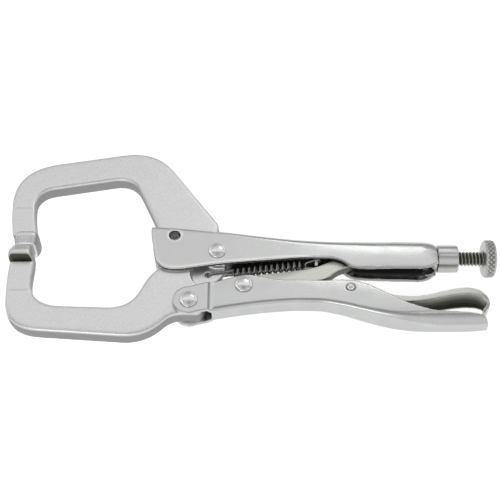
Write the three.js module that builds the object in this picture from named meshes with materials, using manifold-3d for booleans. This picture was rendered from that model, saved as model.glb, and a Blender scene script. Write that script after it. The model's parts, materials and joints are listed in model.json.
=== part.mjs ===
// Locking C-clamp pliers, 11 inch pattern, lying on one side with the jaws locked shut.
//
// X runs along the adjusting screw, from the jaws to the knob.
// Y runs across the handles, from the lower jaw to the upper jaw.
// Z runs along the rivets and points up. All lengths are millimetres.
// Shapes are drawn about the screw axis, with z = 0 on the middle plane of the tool,
// and the finished group is moved so that its origin is the middle of its footprint.

import * as THREE from "three";
import { mergeVertices } from "three/addons/utils/BufferGeometryUtils.js";
import Module from "manifold-3d";

const wasm = await Module();
wasm.setup();

// ---------------------------------------------------------------- driving dimensions

// Centres of the pins and rivets in the XY plane.
const MAIN_PIVOT = [-18.4, 0.6];
const JAW_RIVET = [-33.5, -32.0];
const LINK_RIVET = [-3.5, -21.2];
const LINK_TIP = [55.5, -2.0];
const RELEASE_PIN = [55.5, -23.1];
const JAW_PIN = [-42.8, 11.6];
const SPRING_EYE = [-23.5, -12.3];
const SPRING_ANCHOR = [36.0, -3.0];

const GAP = 0.3; // running gap between touching pieces
const SHEET = 2.3; // thickness of the handle sheet
const JAW_HALF = 4.75; // half the thickness of the forged jaws
const CHEEK_HALF = JAW_HALF + GAP + SHEET; // outside of the cheeks that hold the jaws
const LINK_HALF = 3.0;
const LOWER_BODY_HALF = LINK_HALF + 0.6 + SHEET; // outside of the lower handle behind its joggle
const HUB_RADIUS = 8.6;
const EAR_RADIUS = 8.8;
const SHANK_RADIUS = 3.0;
const RIVET_HEAD = { radius: 5.0, height: 1.2 };
const PIN_HOLE_RADIUS = 3.2;
const RELEASE_PIN_RADIUS = 2.2;
const JAW_EDGE = 1.3; // bevel along the edges of the forged jaws

// The pads meet in this plane.
const CLAMP_PLANE = 5.1;
const PAD = { x: -128.3, shift: 1.0, length: 14.0, width: 18.6, height: 8.1, power: 4.5 };

const SCREW_RADIUS = 4.1;
const SCREW_TIP = 62.0;
const SLEEVE = { start: 97.0, shoulder: 105.9, end: 117.4, radius: 7.85, plug: 5.6 };
const KNOB = { start: 132.0, end: 138.3, radius: 10.7, bore: 4.9 };

const SPRING = { outer: 3.7, wire: 0.6, coilStart: 13.5, coilEnd: 54.0, start: 12.4, end: 58.6 };

// The upper handle's channel along X: half width outside, top of the spine, corner radius.
const UPPER_CHANNEL = [
  { x: -58, half: CHEEK_HALF, spine: 19.0, corner: 2.8 },
  { x: -18, half: CHEEK_HALF, spine: 15.2, corner: 2.8 },
  { x: 0, half: 7.2, spine: 13.2, corner: 3.6 },
  { x: 12, half: 7.0, spine: 12.0, corner: 4.2 },
  { x: 26, half: 6.8, spine: 10.9, corner: 4.8 },
  { x: 42, half: 6.7, spine: 10.3, corner: 5.2 },
  { x: 58, half: 6.9, spine: 10.0, corner: 5.4 },
  { x: 72, half: 7.4, spine: 10.0, corner: 6.0 },
  { x: 84, half: 7.9, spine: 10.1, corner: 6.6 },
  { x: 97.4, half: 7.9, spine: 10.0, corner: 6.8 },
  { x: 101.2, half: 7.8, spine: 9.6, corner: 6.8 },
  { x: 103.9, half: 7.5, spine: 8.8, corner: 6.6 },
  { x: 105.6, half: 6.9, spine: 7.5, corner: 6.2 },
];

// The lower handle's channel behind its joggle, along X: half width outside, bottom of the
// spine, corner radius.
const LOWER_CHANNEL = [
  { x: -21.0, half: LOWER_BODY_HALF, spine: -38.4, corner: 2.4 },
  { x: -6, half: LOWER_BODY_HALF, spine: -35.7, corner: 2.4 },
  { x: 10, half: LOWER_BODY_HALF, spine: -33.5, corner: 2.4 },
  { x: 26, half: LOWER_BODY_HALF, spine: -32.4, corner: 2.5 },
  { x: 38, half: LOWER_BODY_HALF, spine: -32.7, corner: 2.7 },
  { x: 50, half: 6.3, spine: -34.9, corner: 2.7 },
  { x: 60, half: 6.9, spine: -38.0, corner: 2.8 },
  { x: 71, half: 7.6, spine: -41.4, corner: 3.2 },
  { x: 82, half: 8.2, spine: -44.2, corner: 4.4 },
  { x: 93, half: 8.5, spine: -46.1, corner: 6.4 },
  { x: 104, half: 8.5, spine: -47.0, corner: 8.2 },
  { x: 118, half: 8.5, spine: -46.9, corner: 8.2 },
  { x: 129.5, half: 8.1, spine: -46.0, corner: 7.8 },
];

// The two ears in front of it, joggled outwards to pass the jaw. Their spine is cut away.
const EARS = [
  { x: -44, half: CHEEK_HALF, spine: -46.0, corner: 2.4 },
  { x: -23.6, half: CHEEK_HALF, spine: -46.0, corner: 2.4 },
  { x: -21.6, half: LOWER_BODY_HALF, spine: -46.0, corner: 2.4 },
  { x: -20.5, half: LOWER_BODY_HALF, spine: -46.0, corner: 2.4 },
];

// The release lever along its length: place of the web, half width, depth of the side flanges.
const RELEASE_LEVER = [
  { x: 46.0, y: -16.0, half: 2.9, flange: 3.2 },
  { x: 51.0, y: -17.9, half: 3.1, flange: 6.4 },
  { x: 58.0, y: -20.2, half: 3.1, flange: 6.4 },
  { x: 66.0, y: -22.8, half: 3.4, flange: 5.6 },
  { x: 74.0, y: -25.6, half: 4.2, flange: 4.8 },
  { x: 82.0, y: -27.8, half: 5.1, flange: 4.0 },
  { x: 90.0, y: -28.9, half: 6.2, flange: 3.3 },
  { x: 98.0, y: -28.4, half: 7.2, flange: 3.2 },
  { x: 106.0, y: -26.6, half: 7.8, flange: 3.5 },
  { x: 113.5, y: -25.0, half: 8.0, flange: 3.8 },
  { x: 121.0, y: -24.6, half: 7.9, flange: 3.8 },
  { x: 127.0, y: -26.4, half: 7.2, flange: 3.2 },
  { x: 130.6, y: -30.2, half: 6.0, flange: 2.4 },
  { x: 131.0, y: -34.2, half: 4.9, flange: 2.0 },
  { x: 128.6, y: -37.2, half: 3.6, flange: 2.0 },
];
const LEVER_SHEET = 1.7;

// ---------------------------------------------------------------- shape helpers

// A closed geometry as a solid that can be joined and cut.
function solid(geometry) {
  const bare = geometry.index ? geometry.toNonIndexed() : geometry.clone();
  bare.deleteAttribute("normal");
  bare.deleteAttribute("uv");
  const merged = mergeVertices(bare, 1e-4);
  return new wasm.Manifold(
    new wasm.Mesh({
      numProp: 3,
      vertProperties: new Float32Array(merged.attributes.position.array),
      triVerts: new Uint32Array(merged.index.array),
    }),
  );
}

function geometryOf(body) {
  const mesh = body.getMesh();
  const geometry = new THREE.BufferGeometry();
  geometry.setAttribute("position", new THREE.BufferAttribute(mesh.vertProperties, 3));
  geometry.setIndex(new THREE.BufferAttribute(mesh.triVerts, 1));
  geometry.computeVertexNormals();
  return geometry;
}

// A polygon of [x, y, blend] corners. The blend is how far from the corner its curve begins.
function outline(corners) {
  const shape = new THREE.Shape();
  const count = corners.length;
  corners.forEach(([x, y, blend = 0], index) => {
    const corner = new THREE.Vector2(x, y);
    const before = new THREE.Vector2(...corners[(index + count - 1) % count]);
    const after = new THREE.Vector2(...corners[(index + 1) % count]);
    const enter = corner.clone().add(before.sub(corner).setLength(blend));
    const leave = corner.clone().add(after.sub(corner).setLength(blend));
    if (index === 0) shape.moveTo(enter.x, enter.y);
    else shape.lineTo(enter.x, enter.y);
    if (blend > 0) shape.quadraticCurveTo(corner.x, corner.y, leave.x, leave.y);
  });
  shape.closePath();
  return shape;
}

// A plate of an outline, from one height to another, with its edges eased by a bevel.
function plate(shape, bottom, top, bevel = 0, curveSegments = 5) {
  const geometry = new THREE.ExtrudeGeometry(shape, {
    depth: top - bottom - 2 * bevel,
    curveSegments,
    steps: 1,
    bevelEnabled: bevel > 0,
    bevelThickness: bevel,
    bevelSize: bevel,
    bevelOffset: -bevel,
    bevelSegments: 2,
  });
  geometry.translate(0, 0, bottom + bevel);
  return solid(geometry);
}

// A plate whose outline lies in the XZ plane, from one place along Y to another.
function planPlate(shape, low, high) {
  const geometry = new THREE.ExtrudeGeometry(shape, {
    depth: high - low,
    curveSegments: 6,
    steps: 1,
    bevelEnabled: false,
  });
  geometry.rotateX(Math.PI / 2);
  geometry.translate(0, high, 0);
  return solid(geometry);
}

// A round bar parallel to Z through a point of the XY plane.
function bar([x, y], radius, bottom, top, sides = 24) {
  const geometry = new THREE.CylinderGeometry(radius, radius, top - bottom, sides);
  geometry.rotateX(Math.PI / 2);
  geometry.translate(x, y, (top + bottom) / 2);
  return solid(geometry);
}

function block(low, high) {
  const size = high.map((value, axis) => value - low[axis]);
  const geometry = new THREE.BoxGeometry(...size);
  geometry.translate(...high.map((value, axis) => (value + low[axis]) / 2));
  return solid(geometry);
}

// A profile of [radius, distance] points turned about an axis through a point.
function turned(profile, sides, direction, [x, y, z] = [0, 0, 0]) {
  const points = profile.map(([radius, distance]) => new THREE.Vector2(radius, distance));
  const geometry = new THREE.LatheGeometry(points, sides);
  const axis = new THREE.Vector3(0, 1, 0);
  const turn = new THREE.Quaternion().setFromUnitVectors(axis, direction.clone().normalize());
  geometry.applyQuaternion(turn);
  geometry.translate(x, y, z);
  return solid(geometry);
}

// A skin over closed loops that all have the same number of [x, y, z] points, with flat ends.
function loft(rings) {
  const flat = rings[0].map(([, y, z]) => new THREE.Vector2(z, y));
  const clockwise = THREE.ShapeUtils.isClockWise(flat);
  const loops = clockwise ? rings.map((ring) => [...ring].reverse()) : rings;
  const contour = clockwise ? flat.reverse() : flat;
  const count = contour.length;
  const triangles = [];
  for (let ring = 0; ring + 1 < loops.length; ring += 1) {
    for (let side = 0; side < count; side += 1) {
      const a = ring * count + side;
      const b = ring * count + ((side + 1) % count);
      triangles.push(a, a + count, b, b, a + count, b + count);
    }
  }
  const last = (loops.length - 1) * count;
  for (const [a, b, c] of THREE.ShapeUtils.triangulateShape(contour, [])) {
    triangles.push(a, b, c, last + a, last + c, last + b);
  }
  const geometry = new THREE.BufferGeometry();
  geometry.setAttribute("position", new THREE.Float32BufferAttribute(loops.flat(2), 3));
  geometry.setIndex(triangles);
  return solid(geometry);
}

// The value of one column of a table at a distance along it, on a smooth curve.
function column(table, key) {
  const places = table.map((row) => row.x);
  const values = table.map((row) => row[key]);
  const curve = new THREE.CubicInterpolant(places, values, 1);
  return (x) => curve.evaluate(x)[0];
}

// Points of a quarter turn about a centre, from one angle to another, as [z, y] pairs.
function quarter(z, y, radius, from, to, steps = 4) {
  return Array.from({ length: steps + 1 }, (_, step) => {
    const angle = from + ((to - from) * step) / steps;
    return [z + radius * Math.cos(angle), y + radius * Math.sin(angle)];
  });
}

// The section of a bent sheet channel at x. Its spine is at `spine`, and its walls end at `rim`.
function channelLoop(x, half, spine, rim, corner) {
  const side = Math.sign(spine - rim);
  const bend = Math.max(corner - SHEET, 0.5);
  const outerCentre = spine - side * corner;
  const innerCentre = spine - side * (SHEET + bend);
  const inside = half - SHEET;
  const right = Math.PI / 2;
  const section = [
    [half, rim],
    ...quarter(half - corner, outerCentre, corner, 0, side * right),
    ...quarter(corner - half, outerCentre, corner, side * right, side * 2 * right),
    [-half, rim],
    [-inside, rim],
    ...quarter(bend - inside, innerCentre, bend, side * 2 * right, side * right),
    ...quarter(inside - bend, innerCentre, bend, side * right, 0),
    [inside, rim],
  ];
  return section.map(([z, y]) => [x, y, z]);
}

// A channel along X from a table, with stations at most `step` apart.
function channel(table, rim, step) {
  const half = column(table, "half");
  const spine = column(table, "spine");
  const corner = column(table, "corner");
  const loops = [];
  for (let row = 0; row + 1 < table.length; row += 1) {
    const start = table[row].x;
    const length = table[row + 1].x - start;
    const pieces = Math.ceil(length / step);
    for (let piece = 0; piece < pieces; piece += 1) {
      const x = start + (length * piece) / pieces;
      loops.push(channelLoop(x, half(x), spine(x), rim, corner(x)));
    }
  }
  const end = table[table.length - 1];
  loops.push(channelLoop(end.x, end.half, end.spine, rim, end.corner));
  return loft(loops);
}

const ALONG_X = new THREE.Vector3(1, 0, 0);
const ALONG_Z = new THREE.Vector3(0, 0, 1);

// ---------------------------------------------------------------- materials

function metal(color, roughness, metalness = 1) {
  return new THREE.MeshStandardMaterial({ color, roughness, metalness });
}
const forgedSteel = metal(0xc4c6c4, 0.5);
const stampedSteel = metal(0xcdcfcc, 0.36);
const rivetSteel = metal(0xd6d7d6, 0.3);
const screwSteel = metal(0x8f9088, 0.42);
const springSteel = metal(0x5a5c58, 0.38);
const leverSteel = metal(0xa9aa9f, 0.34);

// ---------------------------------------------------------------- the pieces

// The fixed jaw: a C-shaped arm whose tang stands between the cheeks of the upper handle.
function upperJaw() {
  const armEnd = CLAMP_PLANE + PAD.height + 2 * GAP;
  const shape = outline([
    [-136.0, armEnd, 0],
    [-138.1, 25.0, 6],
    [-141.2, 62.0, 27],
    [-56.4, 77.6, 20],
    [-17.2, 20.4, 2.5],
    [-18.5, 15.0, 0],
    [-18.5, 10.9, 0],
    [-30.0, 9.0, 0],
    [-37.0, 3.6, 3],
    [-49.0, 3.6, 3.5],
    [-52.4, 18.5, 4],
    [-68.9, 56.1, 12],
    [-126.0, 45.4, 11],
    [-124.7, 28.0, 5],
    [-121.9, armEnd, 0],
  ]);
  const arm = plate(shape, -JAW_HALF, JAW_HALF, JAW_EDGE);
  return arm
    .subtract(bar(JAW_PIN, PIN_HOLE_RADIUS, -JAW_HALF - 1, JAW_HALF + 1))
    .subtract(thinning(armEnd - 1, 33.6));
}

// The moving jaw: the mirror arm, a hub on the main pivot and a heel inside the lower handle.
function lowerJaw() {
  const armEnd = CLAMP_PLANE - PAD.height - 2 * GAP;
  const shape = outline([
    [-121.4, armEnd, 0],
    [-122.6, -33.2, 19],
    [-66.0, -35.0, 12],
    [-57.0, -15.0, 5],
    [-44.0, -0.5, 6],
    [-28.0, 6.0, 3],
    [-12.0, 2.0, 3],
    [-14.0, -9.0, 2],
    [-16.2, -14.6, 3],
    [-24.2, -22.0, 4],
    [-24.2, -33.0, 0],
    [-25.2, -36.4, 0],
    [-27.8, -39.8, 0],
    [-42.6, -39.6, 5],
    [-57.5, -54.0, 12],
    [-133.4, -48.4, 19],
    [-135.6, -14.0, 6],
    [-135.3, armEnd, 0],
  ]);
  const pocketRadius = 9.8;
  const webHalf = 2.2;
  const eyeHole = 1.7;
  return plate(shape, -JAW_HALF, JAW_HALF, JAW_EDGE)
    .subtract(bar(SPRING_EYE, pocketRadius, webHalf, JAW_HALF + 1, 32))
    .subtract(bar(SPRING_EYE, pocketRadius, -JAW_HALF - 1, -webHalf, 32))
    .add(bar(MAIN_PIVOT, HUB_RADIUS, -JAW_HALF, JAW_HALF, 36))
    .subtract(bar(MAIN_PIVOT, SHANK_RADIUS + GAP, -JAW_HALF - 1, JAW_HALF + 1))
    .subtract(bar(JAW_RIVET, SHANK_RADIUS + GAP, -JAW_HALF - 1, JAW_HALF + 1))
    .subtract(bar(SPRING_EYE, eyeHole, -JAW_HALF, JAW_HALF, 16))
    .subtract(thinning(-24.6, armEnd + 1));
}

// The cut that leaves the arms slightly thinner next to their pads.
function thinning(low, high) {
  const cut = 0.35;
  const left = PAD.x - PAD.length;
  const right = PAD.x + PAD.length;
  const front = block([left, low, JAW_HALF - cut], [right, high, JAW_HALF + 1]);
  const back = block([left, low, -JAW_HALF - 1], [right, high, -JAW_HALF + cut]);
  return front.add(back);
}

// A pad is a rounded oval in plan and tapers towards the plane where the two pads meet. The
// upper one sits a little behind the lower one.
function pad(direction) {
  const half = PAD.length / 2;
  const profile = [
    [0, 0],
    [half - 1.4, 0],
    [half - 0.9, 0.7],
    [half - 0.25, 3.0],
    [half, 5.2],
    [half, PAD.height - 0.7],
    [half - 0.6, PAD.height],
    [0, PAD.height],
  ];
  const points = profile.map(([radius, distance]) => new THREE.Vector2(radius, distance));
  const geometry = new THREE.LatheGeometry(points, 32);
  squareOff(geometry.attributes.position, PAD.power);
  geometry.scale(1, 1, PAD.width / PAD.length);
  if (direction < 0) geometry.rotateX(Math.PI);
  geometry.translate(PAD.x + direction * PAD.shift, CLAMP_PLANE + (direction * GAP) / 2, 0);
  return solid(geometry);
}

// Pushes the points of round rings about Y outwards between their four quarters. A power of 2
// leaves a circle, and a higher one comes nearer to a square.
function squareOff(places, power) {
  for (let index = 0; index < places.count; index += 1) {
    const turn = Math.atan2(places.getZ(index), places.getX(index));
    const sum = Math.abs(Math.cos(turn)) ** power + Math.abs(Math.sin(turn)) ** power;
    const reach = sum ** (-1 / power);
    places.setX(index, places.getX(index) * reach);
    places.setZ(index, places.getZ(index) * reach);
  }
}

// The stamped upper handle: a channel that opens downwards, slotted on top for the jaw,
// and drawn in at its rear end around the screw sleeve.
function upperHandle() {
  const body = channel(UPPER_CHANNEL, -14, 9);
  const side = outline([
    [-56.3, 17.4, 0.8],
    [-43.0, 17.2, 6],
    [-17.6, 13.7, 0],
    [-17.6, 25.0, 0],
    [110.0, 25.0, 0],
    [110.0, -7.0, 0],
    [105.0, -7.2, 1.2],
    [99.8, -11.0, 5],
    [57.5, -10.4, 5],
    [50.0, -3.4, 5],
    [30.0, -3.2, 8],
    [-17.3, -8.0, 8],
    [-40.0, -11.9, 5],
    [-52.0, -10.4, 7],
    [-56.2, 12.0, 4],
  ]);
  const slot = block([-60, -20, -JAW_HALF - GAP], [-18, 30, JAW_HALF + GAP]);
  const collar = filledChannel(UPPER_CHANNEL, SLEEVE.start + 1, 1.6);
  const seat = turned(
    [
      [0, SLEEVE.start - GAP],
      [SLEEVE.plug + GAP, SLEEVE.start - GAP],
      [SLEEVE.plug + GAP, SLEEVE.end],
      [0, SLEEVE.end],
    ],
    36,
    ALONG_X,
  );
  const mouth = outline([
    [90.0, -5.8, 0],
    [99.0, -5.8, 1],
    [105.0, 0.0, 3],
    [99.0, 5.8, 1],
    [90.0, 5.8, 0],
  ]);
  const springTab = block([36.6, -5.6, -2.4], [38.6, 9.0, 2.4]);
  return body
    .subtract(slot)
    .add(springTab)
    .intersect(plate(side, -20, 20))
    .add(collar)
    .subtract(planPlate(mouth, -16, -SLEEVE.plug))
    .subtract(seat)
    .subtract(bar(MAIN_PIVOT, SHANK_RADIUS + GAP, -20, 20))
    .subtract(bar(JAW_PIN, PIN_HOLE_RADIUS, -20, 20));
}

// The outside of the upper handle near its rear end as a full round solid.
function filledChannel(table, start, step) {
  const half = column(table, "half");
  const spine = column(table, "spine");
  const end = table[table.length - 1].x;
  const loops = [];
  for (let x = start; x < end + step; x += step) {
    const place = Math.min(x, end);
    const turn = Array.from({ length: 32 }, (_, index) => (index * Math.PI) / 16);
    const height = spine(place) - 0.15;
    const width = half(place) - 0.05;
    loops.push(turn.map((angle) => [place, height * Math.sin(angle), width * Math.cos(angle)]));
  }
  return loft(loops);
}

// The stamped lower handle: a channel that opens upwards, joggled out at the front into two
// ears around the jaw's heel and widened at the rear into a round grip.
function lowerHandle() {
  const body = channel(LOWER_CHANNEL, -10, 9).add(channel(EARS, -10, 30));
  const [earX, earY] = JAW_RIVET;
  const side = outline([
    [earX, earY + EAR_RADIUS, 0],
    [earX, earY - EAR_RADIUS, 0],
    [-23.5, -38.4, 0],
    [-20.4, -38.4, 0],
    [-20.4, -55.0, 0],
    [129.0, -55.0, 0],
    [129.0, -42.6, 3],
    [123.0, -40.6, 3],
    [98.0, -38.9, 6],
    [86.0, -34.4, 6.5],
    [59.5, -17.6, 8],
    [14.0, -17.8, 7],
    [-1.0, -13.1, 6],
    [-21.0, -19.5, 2],
  ]);
  const profile = plate(side, -20, 20).add(bar(JAW_RIVET, EAR_RADIUS, -20, 20, 40));
  const plan = outline([
    [-60.0, -12.0, 0],
    [129.0, -8.8, 8],
    [129.0, 8.8, 8],
    [-60.0, 12.0, 0],
  ]);
  return body
    .intersect(profile)
    .intersect(planPlate(plan, -60, 20))
    .subtract(bar(JAW_RIVET, SHANK_RADIUS + GAP, -20, 20))
    .subtract(bar(LINK_RIVET, SHANK_RADIUS + GAP, -20, 20))
    .subtract(bar(RELEASE_PIN, RELEASE_PIN_RADIUS + GAP, -20, 20));
}

// The toggle link: a bowed plate from the link rivet to the tip of the adjusting screw.
function toggleLink() {
  const shape = outline([
    [-1.5, -13.6, 1],
    [20.0, -10.9, 8],
    [36.0, -8.2, 6],
    [47.0, -2.6, 4],
    [54.0, 2.2, 1],
    [60.0, -1.5, 1],
    [57.0, -6.9, 2],
    [49.5, -9.8, 3],
    [42.5, -15.6, 3],
    [20.0, -21.2, 8],
    [-1.5, -27.3, 1],
  ]);
  const eyeRadius = 6.3;
  const tipRadius = 4.5;
  return plate(shape, -LINK_HALF, LINK_HALF)
    .add(bar(LINK_RIVET, eyeRadius, -LINK_HALF, LINK_HALF, 32))
    .add(bar(LINK_TIP, tipRadius, -LINK_HALF, LINK_HALF, 28))
    .subtract(bar(LINK_RIVET, SHANK_RADIUS + GAP, -LINK_HALF - 1, LINK_HALF + 1));
}

// The release lever: a folded strip with two flanges on its pin and a wide curled thumb end.
function releaseLever() {
  const loops = RELEASE_LEVER.map(({ x, y, half, flange }, index) => {
    const before = RELEASE_LEVER[Math.max(index - 1, 0)];
    const after = RELEASE_LEVER[Math.min(index + 1, RELEASE_LEVER.length - 1)];
    const along = new THREE.Vector2(after.x - before.x, after.y - before.y).normalize();
    const section = [
      [half, 0],
      [-half, 0],
      [-half, -flange],
      [LEVER_SHEET - half, -flange],
      [LEVER_SHEET - half, -LEVER_SHEET],
      [half - LEVER_SHEET, -LEVER_SHEET],
      [half - LEVER_SHEET, -flange],
      [half, -flange],
    ];
    return section.map(([z, up]) => [x - along.y * up, y + along.x * up, z]);
  });
  return loft(loops).subtract(bar(RELEASE_PIN, RELEASE_PIN_RADIUS + GAP, -9, 9));
}

// A rivet: a shank through the tool and a domed head with a raised ring on each side.
function rivet(centre, gripHalf) {
  const { radius, height } = RIVET_HEAD;
  const seat = gripHalf + GAP;
  const head = [
    [SHANK_RADIUS, seat],
    [radius - 0.4, seat],
    [radius, seat + 0.25],
    [radius - 0.3, seat + 0.65],
    [radius - 1.1, seat + 0.85],
    [radius - 2.4, seat + height - 0.1],
    [0, seat + height],
  ];
  const tail = head.map(([r, z]) => [r, -z]).reverse();
  return turned([...tail, ...head], 28, ALONG_Z, [...centre, 0]);
}

// A plain pin whose ends stop just below the outer faces.
function plainPin(centre, radius, halfLength) {
  const ease = 0.4;
  const end = [
    [radius, halfLength - ease],
    [radius - ease, halfLength],
    [0, halfLength],
  ];
  const start = end.map(([r, z]) => [r, -z]).reverse();
  return turned([...start, ...end], 24, ALONG_Z, [...centre, 0]);
}

// The threaded sleeve: a plug inside the end of the handle and a round neck behind it.
function screwSleeve() {
  const bore = SCREW_RADIUS + GAP;
  const { start, shoulder, end, radius, plug } = SLEEVE;
  return turned(
    [
      [bore, start],
      [plug, start],
      [plug, shoulder],
      [radius - 0.4, shoulder],
      [radius, shoulder + 0.4],
      [radius, end - 0.5],
      [radius - 0.5, end],
      [bore, end],
      [bore, start],
    ],
    36,
    ALONG_X,
  );
}

function adjustingScrew() {
  const end = KNOB.start + KNOB.bore;
  return turned(
    [
      [0, SCREW_TIP],
      [2.4, SCREW_TIP],
      [3.3, SCREW_TIP + 0.8],
      [SCREW_RADIUS, SCREW_TIP + 2],
      [SCREW_RADIUS, end - 0.5],
      [SCREW_RADIUS - 0.5, end],
      [0, end],
    ],
    28,
    ALONG_X,
  );
}

function adjustingKnob() {
  const bore = SCREW_RADIUS + GAP;
  const { start, end, radius } = KNOB;
  return turned(
    [
      [bore, start],
      [radius - 1.6, start],
      [radius - 0.4, start + 0.6],
      [radius, start + 1.6],
      [radius, end - 1.6],
      [radius - 0.4, end - 0.6],
      [radius - 1.6, end],
      [0, end],
      [0, start + KNOB.bore + GAP],
      [bore, start + KNOB.bore + GAP],
      [bore, start],
    ],
    40,
    ALONG_X,
  );
}

// The opening spring as the round space that its coils fill, with a short straight end.
function openingSpring() {
  const { outer, wire, coilStart, coilEnd, start, end } = SPRING;
  const from = new THREE.Vector3(...SPRING_EYE, 0);
  const direction = new THREE.Vector3(...SPRING_ANCHOR, 0).sub(from);
  return turned(
    [
      [0, start],
      [wire, start],
      [wire, coilStart],
      [outer, coilStart],
      [outer, coilEnd],
      [wire, coilEnd],
      [wire, end],
      [0, end],
    ],
    16,
    direction,
    from.toArray(),
  );
}

// ---------------------------------------------------------------- the assembly

const PIECES = {
  upper_handle: [upperHandle(), stampedSteel],
  screw_sleeve: [screwSleeve(), stampedSteel],
  upper_jaw: [upperJaw(), forgedSteel],
  upper_jaw_pad: [pad(1), forgedSteel],
  upper_jaw_pin: [plainPin(JAW_PIN, PIN_HOLE_RADIUS - GAP, CHEEK_HALF - 0.9), rivetSteel],
  main_pivot_rivet: [rivet(MAIN_PIVOT, CHEEK_HALF), rivetSteel],
  lower_jaw: [lowerJaw(), forgedSteel],
  lower_jaw_pad: [pad(-1), forgedSteel],
  lower_handle: [lowerHandle(), stampedSteel],
  lower_jaw_rivet: [rivet(JAW_RIVET, CHEEK_HALF), rivetSteel],
  link_rivet: [rivet(LINK_RIVET, LOWER_BODY_HALF), rivetSteel],
  release_pin: [plainPin(RELEASE_PIN, RELEASE_PIN_RADIUS, 6.3), rivetSteel],
  toggle_link: [toggleLink(), leverSteel],
  release_lever: [releaseLever(), leverSteel],
  adjusting_screw: [adjustingScrew(), screwSteel],
  adjusting_knob: [adjustingKnob(), screwSteel],
  opening_spring: [openingSpring(), springSteel],
};

const pliers = new THREE.Group();
pliers.name = "locking_pliers";
for (const [name, [body, material]] of Object.entries(PIECES)) {
  const mesh = new THREE.Mesh(geometryOf(body), material);
  mesh.name = name;
  pliers.add(mesh);
}

// The origin is the middle of the footprint, level with the lowest point.
const box = new THREE.Box3().setFromObject(pliers);
const middle = box.getCenter(new THREE.Vector3());
pliers.position.set(-middle.x, -middle.y, -box.min.z);

export default pliers;
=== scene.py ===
"""Locking C-clamp pliers lying on one side, with the jaws locked shut.

Shapes are drawn in millimetres in the tool's own drawing frame: X runs along the adjusting
screw, Y across the handles, Z along the rivets, with y = 0 on the screw and z = 0 in the
middle plane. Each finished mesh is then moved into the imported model's frame, in metres.
"""
import json
import math

import bpy
import numpy as np
from mathutils import Matrix, Vector


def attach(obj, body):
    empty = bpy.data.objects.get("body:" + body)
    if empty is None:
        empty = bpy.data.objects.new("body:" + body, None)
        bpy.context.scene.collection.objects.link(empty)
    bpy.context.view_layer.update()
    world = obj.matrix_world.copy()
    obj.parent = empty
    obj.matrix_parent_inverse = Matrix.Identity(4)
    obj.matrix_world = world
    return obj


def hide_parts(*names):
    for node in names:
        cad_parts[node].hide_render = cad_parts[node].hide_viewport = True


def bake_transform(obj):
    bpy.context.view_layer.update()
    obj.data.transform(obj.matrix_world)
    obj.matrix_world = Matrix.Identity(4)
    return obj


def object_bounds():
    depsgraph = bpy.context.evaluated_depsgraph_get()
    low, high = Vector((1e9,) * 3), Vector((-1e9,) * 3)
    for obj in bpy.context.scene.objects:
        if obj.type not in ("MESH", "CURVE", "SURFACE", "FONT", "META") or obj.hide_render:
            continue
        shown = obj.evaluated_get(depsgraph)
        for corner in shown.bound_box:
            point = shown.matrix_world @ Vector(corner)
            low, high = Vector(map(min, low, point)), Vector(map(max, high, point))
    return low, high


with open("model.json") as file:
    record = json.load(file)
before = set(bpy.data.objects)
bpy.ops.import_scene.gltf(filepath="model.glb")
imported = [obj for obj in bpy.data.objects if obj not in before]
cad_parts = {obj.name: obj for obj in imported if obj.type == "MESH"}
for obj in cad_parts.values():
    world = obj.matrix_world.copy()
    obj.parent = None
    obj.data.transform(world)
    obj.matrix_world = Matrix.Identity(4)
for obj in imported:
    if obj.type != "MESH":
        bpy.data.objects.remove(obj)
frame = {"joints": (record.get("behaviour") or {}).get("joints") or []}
cad_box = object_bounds()
BOX_LOW, BOX_HIGH = (tuple(corner) for corner in cad_box)

# ------------------------------------------------------------------ driving dimensions, mm

MAIN_PIVOT = (-18.4, 0.6)
JAW_RIVET = (-33.5, -32.0)
LINK_RIVET = (-3.5, -21.2)
LINK_TIP = (55.5, -2.0)
RELEASE_PIN = (55.5, -23.1)
JAW_PIN = (-42.8, 11.6)
SPRING_EYE = (-23.5, -12.3)
SPRING_ANCHOR = (36.0, -3.0)

GAP = 0.3
SHEET = 2.3
JAW_HALF = 4.75
CHEEK_HALF = JAW_HALF + GAP + SHEET
LINK_HALF = 3.0
LOWER_BODY_HALF = LINK_HALF + 0.6 + SHEET
EAR_RADIUS = 8.8
HUB_RADIUS = 8.6
SHANK_RADIUS = 3.0
PIN_HOLE_RADIUS = 3.2
RELEASE_PIN_RADIUS = 2.2
WEB_HALF, TAB_HALF = 2.2, 2.4  # half the jaw's web's thickness and half the handle's tab's width

CLAMP_PLANE = 5.1
PAD_X, PAD_LENGTH, PAD_WIDTH, PAD_HEIGHT = -128.3, 14.0, 18.6, 8.1
PAD_SHIFT = 1.0  # the upper pad sits this far to the right of PAD_X, the lower one to its left
PAD_SQUARENESS = 4.5  # power of its rounded outline: 2 is an ellipse, and more is squarer

SCREW_RADIUS, SCREW_TIP, SCREW_PITCH = 4.1, 62.0, 2.0
SLEEVE_START, SLEEVE_SHOULDER, SLEEVE_END = 97.0, 105.9, 117.4
SLEEVE_RADIUS, SLEEVE_PLUG = 7.85, 5.6
KNOB_START, KNOB_END, KNOB_RADIUS, KNOB_BORE = 132.0, 138.3, 10.7, 4.9

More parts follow.
